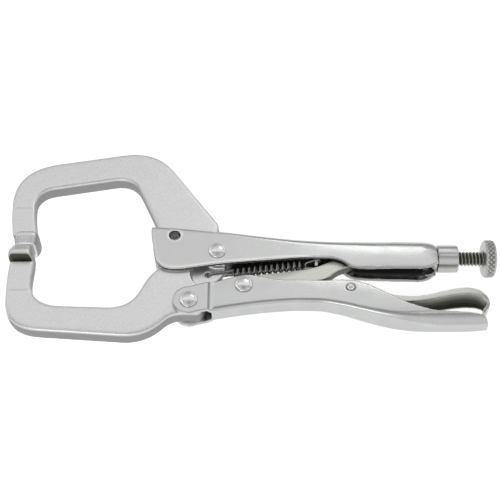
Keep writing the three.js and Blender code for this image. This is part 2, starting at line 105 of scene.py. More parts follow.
# Stations of a bent channel along X: place, half width outside, edge of the spine, corner radius.
UPPER_CHANNEL = [
    (-58, CHEEK_HALF, 19.0, 2.8),
    (-18, CHEEK_HALF, 15.2, 2.8),
    (0, 7.2, 13.2, 3.6),
    (12, 7.0, 12.0, 4.2),
    (26, 6.8, 10.9, 4.8),
    (42, 6.7, 10.3, 5.2),
    (58, 6.9, 10.0, 5.4),
    (72, 7.4, 10.0, 6.0),
    (84, 7.9, 10.1, 6.6),
    (97.4, 7.9, 10.0, 6.8),
    (101.2, 7.8, 9.6, 6.8),
    (103.9, 7.5, 8.8, 6.6),
    (105.6, 6.9, 7.5, 6.2),
]
LOWER_CHANNEL = [
    (-21, LOWER_BODY_HALF, -38.4, 2.4),
    (-6, LOWER_BODY_HALF, -35.7, 2.4),
    (10, LOWER_BODY_HALF, -33.5, 2.4),
    (26, LOWER_BODY_HALF, -32.4, 2.5),
    (38, LOWER_BODY_HALF, -32.7, 2.7),
    (50, 6.3, -34.9, 2.7),
    (60, 6.9, -38.0, 2.8),
    (71, 7.6, -41.4, 3.2),
    (82, 8.2, -44.2, 4.4),
    (93, 8.5, -46.1, 6.4),
    (104, 8.5, -47.0, 8.2),
    (118, 8.5, -46.9, 8.2),
    (129.5, 8.1, -46.0, 7.8),
]
EARS = [
    (-44, CHEEK_HALF, -46.0, 2.4),
    (-23.6, CHEEK_HALF, -46.0, 2.4),
    (-21.6, LOWER_BODY_HALF, -46.0, 2.4),
    (-20.5, LOWER_BODY_HALF, -46.0, 2.4),
]

# The release lever along its length: place of the web in X and Y, half width, flange depth.
RELEASE_LEVER = [
    (46.0, -16.0, 2.9, 3.2),
    (51.0, -17.9, 3.1, 6.4),
    (58.0, -20.2, 3.1, 6.4),
    (66.0, -22.8, 3.4, 5.6),
    (74.0, -25.6, 4.2, 4.8),
    (82.0, -27.8, 5.1, 4.0),
    (90.0, -28.9, 6.2, 3.3),
    (98.0, -28.4, 7.2, 3.2),
    (106.0, -26.6, 7.8, 3.5),
    (113.5, -25.0, 8.0, 3.8),
    (121.0, -24.6, 7.9, 3.8),
    (127.0, -26.4, 7.2, 3.2),
    (130.6, -30.2, 6.0, 2.4),
    (131.0, -34.2, 4.9, 2.0),
    (128.6, -37.2, 3.6, 2.0),
]
LEVER_SHEET = 1.7

MM = 0.001
jaw_joint = next(joint for joint in frame["joints"] if joint["name"] == "jaw_opening")
ORIGIN = Vector(jaw_joint["pos_m"]) - Vector((*MAIN_PIVOT, 0.0)) * MM
TO_FRAME = Matrix.Translation(ORIGIN) @ Matrix.Scale(MM, 4)


# ------------------------------------------------------------------ mesh helpers

def new_object(name, vertices, faces):
    mesh = bpy.data.meshes.new(name)
    mesh.from_pydata([tuple(map(float, vertex)) for vertex in vertices], [], faces)
    mesh.validate()
    obj = bpy.data.objects.new(name, mesh)
    bpy.context.scene.collection.objects.link(obj)
    return obj


def apply_modifiers(obj):
    """Replaces an object's mesh by what its modifiers make of it."""
    depsgraph = bpy.context.evaluated_depsgraph_get()
    mesh = bpy.data.meshes.new_from_object(obj.evaluated_get(depsgraph))
    old = obj.data
    obj.modifiers.clear()
    obj.data = mesh
    bpy.data.meshes.remove(old)
    return obj


def combine(obj, other, operation):
    modifier = obj.modifiers.new("combine", "BOOLEAN")
    modifier.operation = operation
    modifier.solver = "EXACT"
    modifier.object = other
    apply_modifiers(obj)
    bpy.data.objects.remove(other)
    return obj


def cut(obj, *tools):
    for tool in tools:
        combine(obj, tool, "DIFFERENCE")
    return obj


def join(obj, *others):
    for other in others:
        combine(obj, other, "UNION")
    return obj


def soften(obj, voxel, passes):
    """Remeshes a solid into small even faces and rounds its edges by smoothing."""
    remesh = obj.modifiers.new("remesh", "REMESH")
    remesh.mode = "VOXEL"
    remesh.voxel_size = voxel
    smooth = obj.modifiers.new("smooth", "SMOOTH")
    smooth.factor = 0.5
    smooth.iterations = passes
    return apply_modifiers(obj)


def outline(corners, steps=12):
    """A polygon of (x, y, blend) corners. A blend is how far from its corner the curve begins."""
    points = []
    count = len(corners)
    for index, (x, y, blend) in enumerate(corners):
        corner = Vector((x, y))
        if blend == 0:
            points.append(corner)
            continue
        before = Vector(corners[index - 1][:2]) - corner
        after = Vector(corners[(index + 1) % count][:2]) - corner
        enter = corner + before.normalized() * blend
        leave = corner + after.normalized() * blend
        for step in range(steps + 1):
            t = step / steps
            points.append(enter * (1 - t) ** 2 + corner * 2 * t * (1 - t) + leave * t * t)
    return points


def plate(name, points, bottom, top):
    count = len(points)
    vertices = [(x, y, z) for z in (bottom, top) for x, y in points]
    faces = [tuple(reversed(range(count))), tuple(range(count, 2 * count))]
    for index in range(count):
        after = (index + 1) % count
        faces.append((index, after, after + count, index + count))
    obj = new_object(name, vertices, faces)
    area = sum(a.x * b.y - b.x * a.y for a, b in zip(points, points[1:] + points[:1]))
    if area < 0:
        obj.data.flip_normals()
    return obj


def plan_plate(points, low, high):
    """A plate whose outline lies in the XZ plane, from one place along Y to another."""
    obj = plate("plan", points, -high, -low)
    obj.data.transform(Matrix.Rotation(math.pi / 2, 4, "X"))
    return obj


def bar(centre, radius, bottom, top, sides=72):
    x, y = centre
    turn = [2 * math.pi * index / sides for index in range(sides)]
    ring = [Vector((x + radius * math.cos(a), y + radius * math.sin(a))) for a in turn]
    return plate("bar", ring, bottom, top)


def block(low, high):
    corners = [(low[0], low[1]), (high[0], low[1]), (high[0], high[1]), (low[0], high[1])]
    return plate("block", [Vector(corner) for corner in corners], low[2], high[2])


def loft(name, rings):
    """A skin over closed rings of equal length, with flat ends, and its faces pointing out."""
    count = len(rings[0])
    vertices = [point for ring in rings for point in ring]
    last = (len(rings) - 1) * count
    faces = [tuple(range(count)), tuple(reversed(range(last, last + count)))]
    for ring in range(len(rings) - 1):
        for side in range(count):
            a = ring * count + side
            b = ring * count + (side + 1) % count
            faces.append((a, a + count, b + count, b))
    obj = new_object(name, vertices, faces)
    if signed_volume(obj.data) < 0:
        obj.data.flip_normals()
    return obj


def signed_volume(mesh):
    mesh.calc_loop_triangles()
    total = 0.0
    for triangle in mesh.loop_triangles:
        a, b, c = (mesh.vertices[index].co for index in triangle.vertices)
        total += a.dot(b.cross(c))
    return total / 6


def revolve(name, profile, sides, shift=None, axis=(1, 0, 0), start=(0, 0, 0)):
    """Turns (distance, radius) points about an axis. Where the profile's first and last
    points are on the axis it ends in two poles, and otherwise it closes on itself. shift
    gives what is added to the radius, from the distance, the radius and the angle."""
    profile = np.array(profile, float)
    closed = profile[0, 1] > 0
    angle = np.linspace(0, 2 * np.pi, sides, endpoint=False)
    rows = profile if closed else profile[1:-1]
    radius = np.repeat(rows[:, 1:2], sides, axis=1)
    if shift is not None:
        radius = radius + shift(rows[:, 0:1], rows[:, 1:2], angle[None, :])
    distance = np.repeat(rows[:, 0:1], sides, axis=1)
    points = np.stack([distance, radius * np.cos(angle), radius * np.sin(angle)], axis=-1)
    vertices = [tuple(point) for point in points.reshape(-1, 3)]
    faces = []
    count = len(rows)
    for ring in range(count if closed else count - 1):
        below = ring * sides
        above = ((ring + 1) % count) * sides
        for side in range(sides):
            after = (side + 1) % sides
            faces.append((below + side, above + side, above + after, below + after))
    if not closed:
        first = len(vertices)
        vertices += [(profile[0, 0], 0, 0), (profile[-1, 0], 0, 0)]
        last = (count - 1) * sides
        for side in range(sides):
            after = (side + 1) % sides
            faces.append((first, side, after))
            faces.append((first + 1, last + after, last + side))
    obj = new_object(name, vertices, faces)
    turn = Vector((1, 0, 0)).rotation_difference(Vector(axis)).to_matrix().to_4x4()
    obj.data.transform(Matrix.Translation(start) @ turn)
    if signed_volume(obj.data) < 0:
        obj.data.flip_normals()
    return obj


def curve_through(points, spacing):
    """Points of a smooth curve through a list of points of any dimension, evenly spaced."""
    points = np.array(points, float)
    reach = np.concatenate([[0], np.cumsum(np.linalg.norm(np.diff(points[:, :2], axis=0), axis=1))])
    slope = np.gradient(points, reach, axis=0)
    places = np.linspace(0, reach[-1], int(reach[-1] / spacing) + 2)
    return places, np.stack([hermite(reach, points[:, k], slope[:, k], places)
                             for k in range(points.shape[1])], axis=1)


def hermite(knots, values, slopes, places):
    index = np.clip(np.searchsorted(knots, places, side="right") - 1, 0, len(knots) - 2)
    width = knots[index + 1] - knots[index]
    t = (places - knots[index]) / width
    return (values[index] * (1 + 2 * t) * (1 - t) ** 2
            + slopes[index] * width * t * (1 - t) ** 2
            + values[index + 1] * t * t * (3 - 2 * t)
            + slopes[index + 1] * width * t * t * (t - 1))


def column(table, key):
    """One column of a channel's table as a smooth function of the place along X, which never
    passes the values it runs between."""
    table = np.array(table, float)
    knots = table[:, 0]
    values = table[:, key]
    rise = np.diff(values) / np.diff(knots)
    slopes = np.zeros(len(values))
    slopes[0], slopes[-1] = rise[0], rise[-1]
    product = rise[:-1] * rise[1:]
    total = rise[:-1] + rise[1:]
    turning = product <= 0
    slopes[1:-1] = np.where(turning, 0, 2 * product / np.where(turning, 1, total))
    return lambda x: hermite(knots, values, slopes, np.clip(x, knots[0], knots[-1]))


def tube(name, path, radius, sides=14):
    """A round wire along a list of points, with rounded ends."""
    path = [Vector(point) for point in path]
    rings = []
    normal = None
    for index, point in enumerate(path):
        ahead = path[min(index + 1, len(path) - 1)]
        behind = path[max(index - 1, 0)]
        along = (ahead - behind).normalized()
        if normal is None:
            normal = along.orthogonal().normalized()
        normal = (normal - along * normal.dot(along)).normalized()
        side = along.cross(normal)
        near_end = min(index, len(path) - 1 - index)
        size = radius * (0.55, 0.9)[near_end] if near_end < 2 else radius
        rings.append([point + (normal * math.cos(a) + side * math.sin(a)) * size
                      for a in np.linspace(0, 2 * math.pi, sides, endpoint=False)])
    return loft(name, rings)


# ------------------------------------------------------------------ bent sheet channels

def channel_ring(x, half, spine, corner, rim, crown):
    """The section of a sheet bent into a channel. Its walls run from the spine to the rim, and
    crown says how fast the outside of a wall leans inwards away from the line y = crown[0]."""
    level, bend_rate = crown(x)
    side = math.copysign(1, spine - rim)
    bend = max(corner - SHEET, 0.5)
    outer_y = spine - side * corner
    inner_y = spine - side * (SHEET + bend)
    inside = half - SHEET
    quarter = np.linspace(0, math.pi / 2, 13)
    wall = np.linspace(rim, outer_y, 12)[:-1]
    rise = side * corner
    outer = [(half, y) for y in wall]
    outer += [(half - corner + corner * math.cos(a), outer_y + rise * math.sin(a)) for a in quarter]
    outer += [(corner - half - corner * math.sin(a), outer_y + rise * math.cos(a)) for a in quarter]
    outer += [(-half, y) for y in wall[::-1]]
    ring = []
    for z, y in outer:
        lean = bend_rate * (y - level) ** 2 / 2
        ring.append((z - math.copysign(lean * min(abs(z) / half, 1), z), y))
    rise = side * bend
    ring += [(-inside, rim)]
    ring += [(bend - inside - bend * math.cos(a), inner_y + rise * math.sin(a)) for a in quarter]
    ring += [(inside - bend + bend * math.sin(a), inner_y + rise * math.cos(a)) for a in quarter]
    ring += [(inside, rim)]
    return [(x, y, z) for z, y in ring]


def no_crown(x):
    return 0.0, 0.0


def channel(name, table, rim, step=1.0, crown=no_crown):
    half, spine, corner = (column(table, key) for key in (1, 2, 3))
    length = table[-1][0] - table[0][0]
    places = np.linspace(table[0][0], table[-1][0], int(length / step) + 2)
    return loft(name, [channel_ring(x, half(x), spine(x), corner(x), rim, crown) for x in places])


def filled_channel(name, table, start, sides=64):
    """The outside of a channel's rear end as a full round solid, just inside its skin."""
    half, spine = column(table, 1), column(table, 2)
    turn = np.linspace(0, 2 * math.pi, sides, endpoint=False)
    rings = []
    for x in np.linspace(start, table[-1][0], 24):
        height, width = spine(x) - 0.15, half(x) - 0.05
        rings.append([(x, height * math.sin(a), width * math.cos(a)) for a in turn])
    return loft(name, rings)


# ------------------------------------------------------------------ masks for the materials

def vertex_arrays(mesh):
    count = len(mesh.vertices)
    places = np.empty(count * 3)
    normals = np.empty(count * 3)
    mesh.vertices.foreach_get("co", places)
    mesh.vertices.foreach_get("normal", normals)
    return places.reshape(-1, 3), normals.reshape(-1, 3)


def neighbour_mean(mesh, values, rounds=1):
    """Each vertex's values replaced by the mean of those beside it, some rounds over."""
    edges = np.empty(len(mesh.edges) * 2, int)
    mesh.edges.foreach_get("vertices", edges)
    a, b = edges.reshape(-1, 2).T
    number = np.bincount(a, minlength=len(values)) + np.bincount(b, minlength=len(values))
    number = np.maximum(number, 1)
    for _ in range(rounds):
        total = np.zeros_like(values)
        for column_index in range(values.shape[1]):
            total[:, column_index] = (
                np.bincount(a, values[b, column_index], len(values))
                + np.bincount(b, values[a, column_index], len(values)))
        values = total / number[:, None]
    return values


def ramp(value, low, high):
    return np.clip((value - low) / (high - low), 0, 1)


def ramp_up_down(value, rise, fall):
    """Rises from 0 to 1 over the first pair of values and falls back over the second."""
    return ramp(value, *rise) * (1 - ramp(value, *fall))


def no_rims(places, normals):
    return 0.0


def cheek_rims(places, normals):
    """The upper side of the upper handle's cheek, away from its ends, where its rim strip and
    convex edges get a painted highlight.
    """
    return (normals[:, 2] > 0.3) * ramp_up_down(places[:, 0], (-56, -40), (30, 75))


def paint_masks(obj, inner=None, raw_and_shaded=None, rim_fade=0, rims=None):
    """Stores three masks as a colour: red where shade and shadows are painted dark, inside hollows
    and under overhangs, green on a bare cut edge, an unpolished wall or a groove, which is also
    darkened as painted shade, and blue along rounded convex edges, where a highlight is painted.
    The green mask is also spread by rim_fade rounds into a strip beside the bare edges. That
    strip is kept clear of red, and the rims function says where that strip and the convex edges
    get the painted highlight."""
    mesh = obj.data
    places, normals = vertex_arrays(mesh)
    spacing = np.sqrt(sum(polygon.area for polygon in mesh.polygons) / len(mesh.polygons))
    swell = ((places - neighbour_mean(mesh, places)) * normals).sum(axis=1, keepdims=True)
    edge = ramp(neighbour_mean(mesh, swell / spacing, 3)[:, 0], 0.02, 0.12)
    masks = np.zeros((len(places), 4))
    masks[:, 3] = 1
    if raw_and_shaded is not None:
        masks[:, 1] = raw_and_shaded(places, normals)
    near_rim = neighbour_mean(mesh, masks[:, 1:2], rim_fade)[:, 0]
    if inner is not None:
        masks[:, 0] = inner(places, normals) * (1 - ramp(near_rim, 0.0005, 0.02))
    if rims is not None:
        edge = np.maximum(edge, ramp(near_rim, 0.06, 0.2)) * rims(places, normals)
    masks[:, 2] = edge
    attribute = mesh.color_attributes.new("masks", "FLOAT_COLOR", "POINT")
    attribute.data.foreach_set("color", masks.ravel())


# ------------------------------------------------------------------ materials

NOISE_SPAN = (0.3, 0.7)  # what a noise texture's value mostly stays within
BROAD_GRAIN = 9.0  # size in mm of the broad mottling under the fine one


def metal(name, colour, roughness, grain, brush, bump, dark=(0.05, 0.05, 0.055), raw_and_shade=None,
          edge_wear_and_highlight=1.12, mottle=0.055, fine_share=0.45):
    """A plated steel. grain is the size of its fine mottling in mm, brush is how much longer
    that mottling is along X, bump is its height in mm, mottle its strength in the colour, and
    fine_share how much of it is fine and not broad. The dark colour is painted shade under the
    red mask. The colour under the green mask is that of bare cut edges, unpolished walls and
    grooves, darkened further as painted shade. Under the blue mask the colour is made brighter
    by the given factor, a painted highlight along convex edges that also stands for wear."""
    material = bpy.data.materials.new(name)
    material.use_nodes = True
    nodes, link = material.node_tree.nodes, material.node_tree.links.new
    shader = nodes["Principled BSDF"]
    shader.inputs["Metallic"].default_value = 1.0

    place = nodes.new("ShaderNodeTexCoord")
    stretch = nodes.new("ShaderNodeMapping")
    per_metre = 1 / (grain * MM)
    stretch.inputs["Scale"].default_value = (per_metre / brush, per_metre, per_metre)
    link(place.outputs["Object"], stretch.inputs["Vector"])
    fine = nodes.new("ShaderNodeTexNoise")
    fine.inputs["Scale"].default_value = 1.0
    fine.inputs["Detail"].default_value = 3.0
    fine.inputs["Roughness"].default_value = 0.6
    link(stretch.outputs["Vector"], fine.inputs["Vector"])
    broad = nodes.new("ShaderNodeTexNoise")
    broad.inputs["Scale"].default_value = 1 / (BROAD_GRAIN * MM)
    broad.inputs["Detail"].default_value = 2.0
    link(place.outputs["Object"], broad.inputs["Vector"])
    scaled = nodes.new("ShaderNodeMath")
    scaled.operation = "MULTIPLY"
    scaled.inputs[1].default_value = 1 - fine_share
    link(broad.outputs["Fac"], scaled.inputs[0])
    both = nodes.new("ShaderNodeMath")
    both.operation = "MULTIPLY_ADD"
    both.inputs[1].default_value = fine_share
    link(fine.outputs["Fac"], both.inputs[0])
    link(scaled.outputs[0], both.inputs[2])

    masks = nodes.new("ShaderNodeAttribute")
    masks.attribute_name = "masks"
    parts = nodes.new("ShaderNodeSeparateColor")
    link(masks.outputs["Color"], parts.inputs["Color"])

    def mottled(low, high):
        span = nodes.new("ShaderNodeMapRange")
        limits = zip(("From Min", "From Max", "To Min", "To Max"), (*NOISE_SPAN, low, high))
        for socket, value in limits:
            span.inputs[socket].default_value = value
        link(both.outputs[0], span.inputs["Value"])
        return span.outputs["Result"]

    def masked(kind, below, layers):
        for mask, value in layers:
            mix = nodes.new("ShaderNodeMix")
            mix.data_type = kind
            link(parts.outputs[mask], mix.inputs["Factor"])
            link(below, mix.inputs["A"])
            mix.inputs["B"].default_value = value
            below = mix.outputs["Result"]
        return below

    base = nodes.new("ShaderNodeMix")
    base.data_type = "RGBA"
    base.blend_type = "MULTIPLY"
    base.inputs["Factor"].default_value = 1.0
    base.inputs["A"].default_value = (*colour, 1)
    link(mottled(0.985 - mottle, 0.985 + mottle), base.inputs["B"])
    # Blue brightens the colour as a painted highlight on convex edges, green makes it bare steel
    # darkened as painted shade, red makes it painted shade.
    bright = tuple(min(channel_value * edge_wear_and_highlight, 0.95) for channel_value in colour)
    tints = [("Blue", (*bright, 1)), ("Green", (*(raw_and_shade or colour), 1)), ("Red", (*dark, 1))]
    link(masked("RGBA", base.outputs["Result"], tints), shader.inputs["Base Color"])

    plain = mottled(roughness * 0.82, roughness * 1.2)
    matt = [("Green", 0.55), ("Red", 0.7)]
    link(masked("FLOAT", plain, matt), shader.inputs["Roughness"])

    relief = nodes.new("ShaderNodeBump")
    relief.inputs["Strength"].default_value = 1.0
    relief.inputs["Distance"].default_value = bump * MM
    link(fine.outputs["Fac"], relief.inputs["Height"])
    link(relief.outputs["Normal"], shader.inputs["Normal"])
    return material


# In each finish below, the dark colour is painted shade, the colour under the green mask is bare metal
# darkened partly as painted shade, and the brightening under the blue mask is a painted highlight.
forged = metal("forged_steel", (0.87, 0.88, 0.87), 0.36, 0.8, 1.0, 0.05,
               dark=(0.13, 0.13, 0.10), raw_and_shade=(0.38, 0.385, 0.38), edge_wear_and_highlight=1.28, mottle=0.13,
               fine_share=0.85)
stamped = metal("stamped_steel", (0.68, 0.69, 0.68), 0.25, 0.30, 14.0, 0.012,
                dark=(0.08, 0.08, 0.08), raw_and_shade=(0.14, 0.14, 0.13), edge_wear_and_highlight=1.4)
riveted = metal("rivet_steel", (0.84, 0.84, 0.85), 0.20, 0.5, 1.0, 0.015)
threaded = metal("screw_steel", (0.36, 0.36, 0.32), 0.36, 0.3, 1.0, 0.01, raw_and_shade=(0.06, 0.06, 0.05))
knurled = metal("knob_steel", (0.62, 0.63, 0.61), 0.36, 0.3, 1.0, 0.01, raw_and_shade=(0.20, 0.20, 0.19))
sprung = metal("spring_steel", (0.30, 0.31, 0.29), 0.28, 0.3, 1.0, 0.005)
lever_metal = metal("lever_steel", (0.70, 0.70, 0.66), 0.28, 0.35, 8.0, 0.012,
                    dark=(0.14, 0.14, 0.12), raw_and_shade=(0.25, 0.25, 0.23))


# ------------------------------------------------------------------ placing the pieces

def finish_piece(obj, node, body, material):
    """Puts a finished mesh in the place of its CAD node, kept inside the CAD model's box."""
    obj.data.transform(TO_FRAME)
    places, _ = vertex_arrays(obj.data)
    obj.data.vertices.foreach_set("co", np.clip(places, BOX_LOW, BOX_HIGH).ravel())
    obj.data.materials.clear()
    obj.data.materials.append(material)
    for polygon in obj.data.polygons:
        polygon.use_smooth = True
    obj.name = node + "_shape"
    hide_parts(node)
    if body:
        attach(obj, body)


# ------------------------------------------------------------------ the jaws

JAW_VOXEL = 0.5
JAW_ROUNDING = 55


def thin_near_pad(obj, low, high):
    """Takes the two faces of an arm down by a small step next to its pad."""
    depth, slope = 0.22, 1.2
    places, _ = vertex_arrays(obj.data)
    near = np.abs(places[:, 0] - PAD_X) < PAD_LENGTH
    inset = np.minimum(places[:, 1] - low, high - places[:, 1])
    limit = JAW_HALF - depth * ramp(inset, 0, slope) * near
    places[:, 2] = np.clip(places[:, 2], -limit, limit)
    obj.data.vertices.foreach_set("co", places.ravel())
    obj.data.update()


def forged_walls(places, normals):
    """The unpolished walls around a plate, away from its two broad faces, also darkened as painted
    shade.
    """
    return 1 - ramp(np.abs(normals[:, 2]), 0.12, 0.55)


def upper_jaw():
    arm_end = CLAMP_PLANE + PAD_HEIGHT + 2 * GAP
    arm = plate("upper_jaw", outline([
        (-136.0, arm_end, 0),
        (-138.1, 25.0, 6),
        (-141.2, 62.0, 27),
        (-56.4, 77.6, 20),
        (-17.2, 20.4, 2.5),
        (-18.5, 15.0, 0),
        (-18.5, 10.9, 0),
        (-30.0, 9.0, 0),
        (-37.0, 3.6, 3),
        (-49.0, 3.6, 3.5),
        (-52.4, 18.5, 4),
        (-68.9, 56.1, 12),
        (-126.0, 45.4, 11),
        (-124.7, 28.0, 5),
        (-121.9, arm_end, 0),
    ]), -JAW_HALF, JAW_HALF)
    cut(arm, bar(JAW_PIN, PIN_HOLE_RADIUS, -JAW_HALF - 1, JAW_HALF + 1))
    soften(arm, JAW_VOXEL, JAW_ROUNDING)
    thin_near_pad(arm, arm_end - 1, 33.6)
    # Darkens the unpolished walls, also as painted shade, and paints a highlight on convex edges.
    paint_masks(arm, raw_and_shaded=forged_walls)
    finish_piece(arm, "upper_jaw", "upper_handle", forged)


def lower_jaw():
    arm_end = CLAMP_PLANE - PAD_HEIGHT - 2 * GAP
    arm = plate("lower_jaw", outline([
        (-121.4, arm_end, 0),
        (-122.6, -33.2, 19),
        (-66.0, -35.0, 12),
        (-57.0, -15.0, 5),
        (-44.0, -0.5, 6),
        (-28.0, 6.0, 3),
        (-12.0, 2.0, 3),
        (-14.0, -9.0, 2),
        (-16.2, -14.6, 3),
        (-24.2, -22.0, 4),
        (-24.2, -33.0, 0),
        (-25.2, -36.4, 0),
        (-27.8, -39.8, 0),
        (-42.6, -39.6, 5),
        (-57.5, -54.0, 12),
        (-133.4, -48.4, 19),
        (-135.6, -14.0, 6),
        (-135.3, arm_end, 0),
    ]), -JAW_HALF, JAW_HALF)
    soften(arm, JAW_VOXEL, JAW_ROUNDING)
    pocket_radius, eye_hole = 9.8, 1.7
    cut(arm, bar(SPRING_EYE, pocket_radius, WEB_HALF, JAW_HALF + 1),
        bar(SPRING_EYE, pocket_radius, -JAW_HALF - 1, -WEB_HALF))
    join(arm, bar(MAIN_PIVOT, HUB_RADIUS, -JAW_HALF, JAW_HALF))
    cut(arm, bar(MAIN_PIVOT, SHANK_RADIUS + GAP, -JAW_HALF - 1, JAW_HALF + 1),
        bar(JAW_RIVET, SHANK_RADIUS + GAP, -JAW_HALF - 1, JAW_HALF + 1),
        bar(SPRING_EYE, eye_hole, -JAW_HALF, JAW_HALF))
    soften(arm, JAW_VOXEL, 2)
    thin_near_pad(arm, -24.6, arm_end + 1)
    # Darkens the unpolished walls, also as painted shade, and paints a highlight on convex edges.
    paint_masks(arm, raw_and_shaded=forged_walls)
    finish_piece(arm, "lower_jaw", "lower_jaw", forged)


def pad(name, body, direction):
    """An oval pad that tapers towards the plane where the two pads meet."""
    half = PAD_LENGTH / 2
    _, profile = curve_through([
        (0.0, half - 1.7),
        (0.35, half - 1.3),
        (1.6, half - 0.85),
        (3.2, half - 0.35),
        (4.9, half - 0.04),
        (6.0, half),
        (7.1, half - 0.12),
        (7.8, half - 0.5),
        (PAD_HEIGHT, half - 1.1),
    ], 0.12)
    rows = [(0.0, 0.0), (0.0, half - 3.0), *[tuple(row) for row in profile],
            (PAD_HEIGHT, half - 3.0), (PAD_HEIGHT, 0.0)]
    obj = revolve(name, rows, 96, axis=(0, 1, 0))
    places, _ = vertex_arrays(obj.data)
    turn = np.arctan2(places[:, 2], places[:, 0])
    power = PAD_SQUARENESS
    square = (np.abs(np.cos(turn)) ** power + np.abs(np.sin(turn)) ** power) ** (-1 / power)
    places[:, 0] = np.clip(places[:, 0] * square, -half, half)
    places[:, 2] = np.clip(places[:, 2] * square * PAD_WIDTH / PAD_LENGTH, -PAD_WIDTH / 2, PAD_WIDTH / 2)
    places[:, 1] = CLAMP_PLANE + direction * (places[:, 1] + GAP / 2)
    places[:, 0] += PAD_X + direction * PAD_SHIFT
    obj.data.vertices.foreach_set("co", places.ravel())
    if signed_volume(obj.data) < 0:
        obj.data.flip_normals()
    obj.data.update()

    # Paints shade dark on the pad's underside where it overhangs the arm.
    def underside(places, normals):
        return ramp(normals[:, 1] * direction, 0.35, 0.7)

    # The pad's ends: unpolished, and darkened as painted shade.
    def flank(places, normals):
        return ramp(np.abs(normals[:, 0]), 0.5, 0.85)

    # Also paints a highlight along the pad's convex edges.
    paint_masks(obj, inner=underside, raw_and_shaded=flank)
    finish_piece(obj, name, body, forged)


# ------------------------------------------------------------------ the handles

SHEET_VOXEL = 0.42
SHEET_ROUNDING = 4
RIM_STRIP = 40


def upper_crown(x):
    return -5.0, 0.0145 * ramp(x, 20, 72)


def lower_crown(x):
    to_grip = ramp(x, 20, 75)
    return -28.0 - 6.0 * to_grip, 0.006 + 0.004 * to_grip


def under_skin(depth):
    """Rises from 0 to 1 where a depth below a sheet's outside nears its inside."""
    return ramp(depth, SHEET - 0.9, SHEET - 0.4)


def faces_middle(places, normals):
    """True on the walls' inner faces and on whatever looks along the tool."""
    return normals[:, 2] * np.sign(places[:, 2]) < 0.3


def sheet_edge(normals):
    """1 on the cut edge of a wall, and 0 on its broad faces."""
    return 1 - ramp(np.abs(normals[:, 2]), 0.15, 0.5)


def upper_handle():
    body = channel("upper_handle", UPPER_CHANNEL, -14, crown=upper_crown)
    side = outline([
        (-56.3, 17.4, 0.8),
        (-43.0, 17.2, 6),
        (-17.6, 13.7, 0),
        (-17.6, 25.0, 0),
        (110.0, 25.0, 0),
        (110.0, -7.0, 0),
        (105.0, -7.2, 1.2),
        (99.8, -11.0, 5),
        (57.5, -10.4, 5),
        (50.0, -3.4, 5),
        (30.0, -3.2, 8),
        (-17.3, -8.0, 8),
        (-40.0, -11.9, 5),
        (-52.0, -10.4, 7),
        (-56.2, 12.0, 4),
    ])
    cut(body, block((-60, -20, -JAW_HALF - GAP), (-18, 30, JAW_HALF + GAP)))
    join(body, block((36.6, -5.6, -TAB_HALF), (38.6, 9.0, TAB_HALF)))
    combine(body, plate("side", side, -20, 20), "INTERSECT")
    join(body, filled_channel("collar", UPPER_CHANNEL, SLEEVE_START + 1))
    seat = revolve("seat", [
        (SLEEVE_START - GAP, 0),
        (SLEEVE_START - GAP, SLEEVE_PLUG + GAP),
        (SLEEVE_END, SLEEVE_PLUG + GAP),
        (SLEEVE_END, 0),
    ], 72)
    mouth = outline([
        (90.0, -5.8, 0),
        (99.0, -5.8, 1),
        (105.0, 0.0, 3),
        (99.0, 5.8, 1),
        (90.0, 5.8, 0),
    ])
    cut(body, plan_plate(mouth, -16, -SLEEVE_PLUG), seat,
        bar(MAIN_PIVOT, SHANK_RADIUS + GAP, -20, 20),
        bar(JAW_PIN, PIN_HOLE_RADIUS, -20, 20))
    soften(body, SHEET_VOXEL, SHEET_ROUNDING)
    half, spine = column(UPPER_CHANNEL, 1), column(UPPER_CHANNEL, 2)

    # Paints shade dark inside the channel, on the wall of the pin's hole and on the mouth's walls.
    def inner(places, normals):
        x, y, z = places.T
        inside = under_skin(np.minimum(half(x) - np.abs(z), spine(x) - y))
        inside *= 1 - ramp(x, 54, 62) * (1 - ramp(y, -10.4, -6.0))
        hollow = (x > -20) & (x < 105) & (np.hypot(y, z) > SLEEVE_PLUG + 0.6)
        pin_hole = np.hypot(x - JAW_PIN[0], y - JAW_PIN[1]) < PIN_HOLE_RADIUS + 0.2
        mouth_wall = (x > 90) & (x < 105.6) & (np.abs(z) < 6.3) & (y < -5.4) & (normals[:, 1] > -0.6)
        dark = np.maximum(inside * (faces_middle(places, normals) & hollow),
                          pin_hole * (np.abs(normals[:, 2]) < 0.7))
        return np.maximum(dark, mouth_wall)

    # The walls' cut edges: bare steel darkened as painted shade, less towards the rear.
    def raw_and_shaded(places, normals):
        x, y, z = places.T
        wall = (np.abs(z) > half(x) - SHEET - 0.2) & (y < spine(x) - 2.5) & (x < 103)
        return wall * sheet_edge(normals) * (1 - 0.7 * ramp(x, 20, 60))

    paint_masks(body, inner, raw_and_shaded, rim_fade=RIM_STRIP, rims=cheek_rims)
    finish_piece(body, "upper_handle", "upper_handle", stamped)


